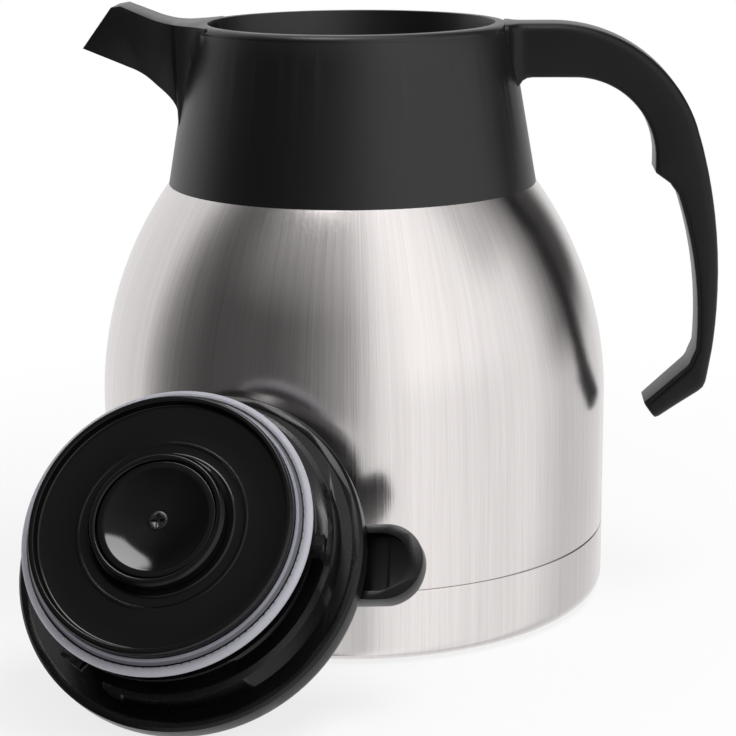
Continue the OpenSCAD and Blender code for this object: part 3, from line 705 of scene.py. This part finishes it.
# %% [markdown]
# ## The finger stop, the grip and the hooked end
# Below the bend the inner line steps out, so the top finger can't slide up. Then the grip hollows, and
# the end hooks in towards the jug and gets narrower. The places of the step and the hook were read off
# a side view, because no single curve fits them.

# %% Sections down the back, and the finished handle
FINGER_STOP = [
    (125.0, (82.35, 118.5)), (123.5, (82.7, 117.75)), (118.8, (86.5, 115.0)), (117.0, (87.2, 114.0)),
]
GRIP_HEIGHTS = (112, 109, 105, 100, 95, 90, 85, 80, 76, 72, 69)
GRIP_END = [(62.0, (93.6, 66.4)), (59.6, (93.1, 65.0))]
HOOKED_END = [
    ((97.1, 57.9), (92.4, 64.0), 0.2), ((95.8, 56.7), (91.4, 63.1), 0.3),
    ((90.0, 52.8), (86.2, 58.3), 0.5), ((85.2, 49.4), (82.0, 54.4), 0.7),
    ((84.2, 48.95), (80.95, 53.5), 1.1), ((83.8, 49.2), (81.1, 52.9), 1.9),
]
for up, inner in FINGER_STOP:
    sections.append((at_height(BACK, BACK_R, up), inner, HALF_W))
for up in GRIP_HEIGHTS:
    outer_up = up + (up - GRIP[1]) * 0.04
    sections.append((at_height(BACK, BACK_R, outer_up), at_height(GRIP, GRIP_R, up), HALF_W))
for up, inner in GRIP_END:
    sections.append((at_height(BACK, BACK_R, up), inner, HALF_W))
for outer, inner, narrower in HOOKED_END:
    sections.append((outer, inner, HALF_W - narrower))


def bar_section(outer, inner, half, edge_out=2.6, edge_in=1.8):
    """A rounded box section between an outer and an inner point (across, up), as places in the frame."""
    outer, inner = Vector(outer), Vector(inner)
    depth = (outer - inner).length
    along = (outer - inner) / depth
    edge_out = min(edge_out, depth * 0.45)
    edge_in = min(edge_in, depth * 0.45)
    box = [(0, -half, edge_in), (depth, -half, edge_out), (depth, half, edge_out), (0, half, edge_in)]
    return [(inner.x + along.x * d, side, inner.y + along.y * d) for d, side in rounded(box, 5)]


handle_skin = row_of_sections("handle_skin", [bar_section(*section) for section in sections])
finish_piece(handle_skin, black_handle, "jug", ["handle"], 38.0)

# %% [markdown]
# ## The stopper's plate
# What faces the camera is the stopper seen from below: a polished black plate with a rim round its
# edge and a raised ring round the port. A faint step runs round it, which shows as a thin line. It is
# turned from its outline, drawn as it sits in the mouth and then laid over with the lid.

# %% The polished plate with the port's ring
PLATE_Z = -21.0
STEP_Z = PLATE_Z - 0.14
PORT_Z = -25.6
SPIGOT_Z = -19.0

plate_outline = rounded(
    [
        (16.35, SPIGOT_Z, 0.3), (14.6, PORT_Z, 0.45), (15.95, PORT_Z, 0.5), (16.6, -24.9, 0.3),
        (17.6, PLATE_Z, 0.8), (20.2, PLATE_Z, 0.2), (20.4, STEP_Z, 0.1), (20.9, STEP_Z, 0.1),
        (21.1, PLATE_Z, 0.2), (30.7, PLATE_Z, 0.7), (30.7, -23.4, 0.35), (32.25, -23.4, 0.5),
        (32.25, SPIGOT_Z), (31.8, SPIGOT_Z), (31.8, -16.0, 0.2), (30.7, -16.0, 0.2), (30.7, SPIGOT_Z),
    ],
    5,
)
plate = turned("stopper_plate", plate_outline)
finish_piece(plate, black_gloss, "lid", ["plug_floor"], leaning=True)

# %% [markdown]
# ## The silicone of the lip
# The lip is one moulding of clear silicone. Its thick bead keeps the silicone's own milky tone, its thin
# inner band is painted a darker grey as shade, and its groove is painted near black as shade. These
# painted shades are laid on by the distance from the lid's middle.


# %% The silicone, with painted shade on its inner band and its groove
def lip_silicone():
    finish = Finish("silicone_with_painted_shade", {"Specular IOR Level": 0.4})
    offset = finish.vector("SUBTRACT", finish.place, tuple(lid_middle))
    across = finish.vector("DOT_PRODUCT", offset, tuple(lid_out), output=1)
    aside = finish.vector("DOT_PRODUCT", offset, tuple(lid_side), output=1)
    radius = (across * across + aside * aside).root() / MM
    cloud = finish.noise(finish.place, 90.0, 3.0)
    speck = finish.noise(finish.place, 1400.0)
    # the inner band's darker grey is painted shade, set against the bead's own milky tone
    band = finish.mix(cloud, (0.24, 0.24, 0.28, 1), (0.31, 0.31, 0.36, 1))
    bead = finish.mix(cloud, (0.37, 0.37, 0.41, 1), (0.46, 0.46, 0.51, 1))
    bead_and_shaded_band = finish.mix(radius.between(33.3, 33.6), band, bead)
    # the groove is painted near black as shade, mixed in three quarters of the way
    groove_shade = radius.rise_and_fall(33.0, 33.2, 33.6, 33.95)
    finish.set(
        Base_Color=finish.mix(groove_shade * 0.75, bead_and_shaded_band, (0.05, 0.05, 0.06, 1)),
        Roughness=0.36 + cloud * 0.12,
        Normal=finish.bump(speck, 0.12, 0.00003),
    )
    print("the lip's finish:", finish.material.name)
    return finish.material


# %% [markdown]
# ## The silicone lip
# The lip is stretched over the foot of the stopper and seals it in the mouth. Its cut shows the thin
# band against the plate, the groove, and the round bead that touches the flask. The bead is an arc
# between two lists of corners, so it is truly round where the light runs over it.

# %% The silicone lip
LIP_R = 34.0
BEAD = (34.6, -17.6)
BEAD_R = 1.2

lip_outline = rounded(
    [
        (LIP_R, -15.4), (LIP_R, SPIGOT_Z), (32.27, SPIGOT_Z), (32.27, -20.55, 0.25), (33.1, -20.3, 0.3),
        (33.45, -19.2, 0.15),
    ],
    5,
)
lip_outline += arc(BEAD, BEAD_R, 232, 400, 16)
lip_outline += rounded([(35.4, -16.0, 0.3), (34.9, -15.4, 0.2), (LIP_R, -15.4)], 4)[:-1]
lip = turned("silicone_lip", lip_outline)
finish_piece(lip, lip_silicone(), "lid", ["stopper_gasket"], leaning=True)

# %% [markdown]
# ## The dished disc and its screw
# A disc closes the port. Its face is a shallow dish that mirrors the room as a soft crescent, and its
# edge is rounded over widely, so the crescent fades out there instead of stopping at a line. The dish
# is a piece of a large sphere, whose radius follows from the dish's width and depth. A screw with a
# blackened head holds the disc on its stem.

# %% The dished disc and the screw
DISC_R, DISC_FACE = 14.41, -25.2
DISH_R, DISH_DEPTH = 12.9, 1.5
SCREW_R, SCREW_SEAT = 2.5, -22.3

sphere_r = (DISH_R**2 + DISH_DEPTH**2) / (2 * DISH_DEPTH)
start, stop = (90 - math.degrees(math.asin(width / sphere_r)) for width in (SCREW_R, DISH_R))
dish = arc((0, DISC_FACE + DISH_DEPTH - sphere_r), sphere_r, start, stop, 20)
disc_outline = [(1.2, -20.3), (1.2, SCREW_SEAT), (SCREW_R, SCREW_SEAT)] + dish[:-1]
disc_outline += rounded(
    [
        dish[-2], (*dish[-1], 2.5), (DISC_R, DISC_FACE, 0.3), (16.08, -19.0), (16.08, -18.2),
        (19.38, -18.2, 0.2), (19.38, -16.8, 0.3), (11.8, -16.8, 0.2), (11.8, -21.6, 0.5), (7.2, -21.6, 0.5),
        (7.2, -16.8, 0.2), (2.0, -16.8), (2.0, -20.3),
    ],
    4,
)[1:]
disc = turned("valve_disc", disc_outline, 160)
finish_piece(disc, black_gloss, "valve", ["valve_head"], leaning=True)
moulded_copy("valve_screw", "screw_skin", 0.12, black_screw, "valve")
print("the dish is part of a sphere with a radius of", round(sphere_r, 1), "mm")

# %% [markdown]
# ## The small hidden pieces
# The gasket, the ring under the collar, the guide, the pin, the spring, the stem and its cap hardly
# show. The measured model has their true shapes, so they keep them and only get their finishes.

# %% Finishes for the pieces that keep their measured shape
plain_finishes = {
    "neck_ring": black_satin, "neck_gasket": silicone, "guide_bush": guide_plastic,
    "lever_pin": steel_small, "valve_spring": steel_small, "valve_seal": silicone,
    "valve_stem": steel_small, "stem_cap": steel_small,
}
for node, material in plain_finishes.items():
    mesh = frame["nodes"][node].data
    mesh.materials.clear()
    mesh.materials.append(material)
print("kept shapes:", ", ".join(plain_finishes))

# %% [markdown]
# ## The floor
# The jug stands on a pale table that fades to white. The floor is a plain sheet with a matt finish, so
# it takes the jug's shadow. To the camera a white glow is laid over it, weaker near the jug and full
# further out, so the shadow stays and the edge of the sheet is lost. More light on the floor would
# whiten it too, but it would also bleach the jug.

# %% The floor, pale near the jug and white far off
NEAR, FAR = 0.10, 0.30
LEAST_WHITE = 0.76

bpy.ops.object.select_all(action="DESELECT")
bpy.ops.mesh.primitive_plane_add(size=9.0, location=(0, 0, 0))
floor = bpy.context.object
floor.name = "studio_floor"
matt_table = {"Base Color": (0.86, 0.86, 0.86, 1), "Roughness": 0.7, "Specular IOR Level": 0.2}
table = Finish("pale_floor", matt_table)
away_x, away_y, _ = table.parts(table.place)
distance = (away_x * away_x + away_y * away_y).root()
whiteness = distance.between(NEAR, FAR) * (1 - LEAST_WHITE) + LEAST_WHITE
white = table.add("ShaderNodeEmission", None, {"Color": (1, 1, 1, 1), "Strength": 1.0})
camera_ray = table.add("ShaderNodeLightPath", output=0)
layers = {0: camera_ray * whiteness, 1: Wire(table, table.shader.outputs[0]), 2: white}
table.feed(table.surface, table.add("ShaderNodeMixShader", None, layers))
floor.data.materials.append(table.material)
floor.visible_glossy = False
print("the floor turns fully white", FAR, "m from the jug's axis")

# %% [markdown]
# ## The walls of the room
# Polished steel shows what stands round it, so its look is mostly the room's. A real room could be
# built of cards and lamps, but painting it into the world by direction is quicker to tune and costs no
# light. Angles are counted in degrees from the camera's side, to the right: the room is dark at the
# front left, bright from the front right to the right, and pale behind.

# %% The brightness round the jug
world = bpy.data.worlds.new("studio")
bpy.context.scene.world = world
world.use_nodes = True
room = Net(world.node_tree)
to_x, to_y, to_z = room.parts(room.add("ShaderNodeTexCoord", output=0))
turn = room.add("ShaderNodeMath", {"operation": "ARCTAN2"}, {0: to_x, 1: 0.0 - to_y}) / (2 * math.pi) + 0.5
angle = turn * 360 - 180

ROOM = [
    (-180, 0.88), (-140, 0.88), (-108, 0.80), (-97, 0.36), (-87, 0.16), (-70, 0.07), (-34, 0.09),
    (-22, 0.13), (-10, 0.25), (2, 0.40), (8, 0.62), (13, 0.98), (30, 1.12), (46, 1.08), (62, 0.98),
    (90, 1.00), (100, 0.84), (112, 0.72), (128, 0.72), (145, 0.80), (162, 0.90), (180, 0.88),
]
stops = [((side + 180) / 360, (level, level, level, 1)) for side, level in ROOM]
ramp = room.add("ShaderNodeValToRGB", {"stops": stops}, {0: turn})
around = room.add("ShaderNodeRGBToBW", None, {0: ramp})
darkest = min(ROOM, key=lambda stop: stop[1])[0]
print("the room is darkest", darkest, "degrees round from the camera")

# %% [markdown]
# ## Cards and glows in the room
# The shoulder looks up and the straight wall looks level, so each shows another height of the room.
# Soft glows at the left lift the shoulder and the foot, a glow on the right makes the bright streak,
# and a dark card stands behind it. Overhead hangs a bright ceiling, and one small high window makes
# the crescent in the dished disc. Each is a product of soft edges by angle and by height.

# %% What hangs at certain heights
left_glow = angle.rise_and_fall(-78, -45, 0, 20)
left_glow = left_glow * (to_z.between(0.42, 0.76) * 0.26 + to_z.between(0.80, 0.88) * 0.2)
low_glow = angle.rise_and_fall(-50, -28, -4, 8) * (1 - to_z.between(-0.16, -0.06)) * 0.5
right_glow = angle.rise_and_fall(15, 30, 70, 84) * to_z.between(0.0, 0.2)
dark_card = angle.rise_and_fall(96, 122, 145, 160) * to_z.between(-0.10, 0.05)
dim_top = angle.between(66, 82) * to_z.between(0.40, 0.55) * (1 - dark_card)
walls = around * (1 - dark_card * 0.92) * (1 - dim_top * 0.35) * (1 + right_glow * 0.14)
walls = walls + left_glow + low_glow

CEILING, WINDOW = 1.8, 12.0
overhead = to_z.between(0.93, 0.96)
walls = walls * (1 - overhead) + overhead * CEILING
window = (to_x * 0.785 + to_y * 0.619).between(-0.404, -0.39) * to_z.between(0.904, 0.914)
window = window * (1 - to_x.between(-0.11, -0.09)) * (1 - to_y.between(-0.08, -0.03))
walls = walls + window * WINDOW
print("nodes that paint the room:", len(room.tree.nodes))

# %% [markdown]
# ## Who sees the room
# Only reflections see the painted room. The camera sees plain white behind the jug, and matt surfaces
# get an even, quiet light from all round. The kind of ray tells them apart, so none of the three has
# to be a compromise.

# %% White for the camera, the room for reflections
EVEN_LIGHT = 0.46

camera_ray = room.add("ShaderNodeLightPath", output=0)
glossy_ray = room.add("ShaderNodeLightPath", output=3)
level = camera_ray + glossy_ray * walls + (1 - camera_ray) * (1 - glossy_ray) * EVEN_LIGHT
shine = room.add("ShaderNodeBackground", None, {"Color": (1, 1, 1, 1), "Strength": level})
room.feed(room.tree.nodes.new("ShaderNodeOutputWorld").inputs["Surface"], shine)
print("the even light has a strength of", EVEN_LIGHT)

# %% [markdown]
# ## The lamps
# Two soft boxes, one overhead and one on the right, give the soft shadow on the table and the gentle
# shading of the plastics. They are large, because a small lamp would cut a hard shadow, and mirrors
# don't see them, because the painted room already holds what the steel should show.

# %% The lamps
AIM = Vector((0, -0.03, 0.08))


def softbox(name, place, size, power):
    lamp = bpy.data.lights.new(name, "AREA")
    lamp.shape = "RECTANGLE"
    lamp.size, lamp.size_y = size
    lamp.energy = power
    obj = bpy.data.objects.new(name, lamp)
    bpy.context.scene.collection.objects.link(obj)
    obj.location = place
    obj.rotation_euler = (AIM - Vector(place)).to_track_quat("-Z", "Y").to_euler()
    obj.visible_glossy = False
    print(f"{name}: {power} W from {(AIM - Vector(place)).length:.2f} m away")


softbox("overhead_box", (0.35, -0.15, 1.25), (0.7, 0.5), 8.0)
softbox("right_box", (1.25, -0.65, 0.75), (0.5, 1.0), 8.0)

# %% [markdown]
# ## The camera
# The camera stands where the photographer stood: a little above the jug, looking slightly down, with
# a long lens. Its place, tilt and lens were worked out from the round edges of the jug, which open
# into wider rings the more one looks down on them. A guess by eye would leave the outlines apart.

# %% The camera, where the photographer stood
STAND = Vector((34.97, -593.3, 208.1)) * MM
SWING, PITCH, ROLL = 3.0, 13.87, -0.007

camera_data = bpy.data.cameras.new("camera")
camera_data.lens = 106.32
camera_data.sensor_width = 36.0
camera_data.clip_end = 30.0
camera = bpy.data.objects.new("camera", camera_data)
bpy.context.scene.collection.objects.link(camera)
camera.matrix_world = (
    Matrix.Translation(STAND)
    @ Matrix.Rotation(math.radians(SWING), 4, "Z")
    @ Matrix.Rotation(math.radians(90 - PITCH), 4, "X")
    @ Matrix.Rotation(ROLL, 4, "Z")
)
bpy.context.scene.camera = camera
bpy.context.scene.view_settings.view_transform = "Standard"
print(f"the camera is {STAND.length:.3f} m from the jug's foot and looks down by {PITCH} degrees")
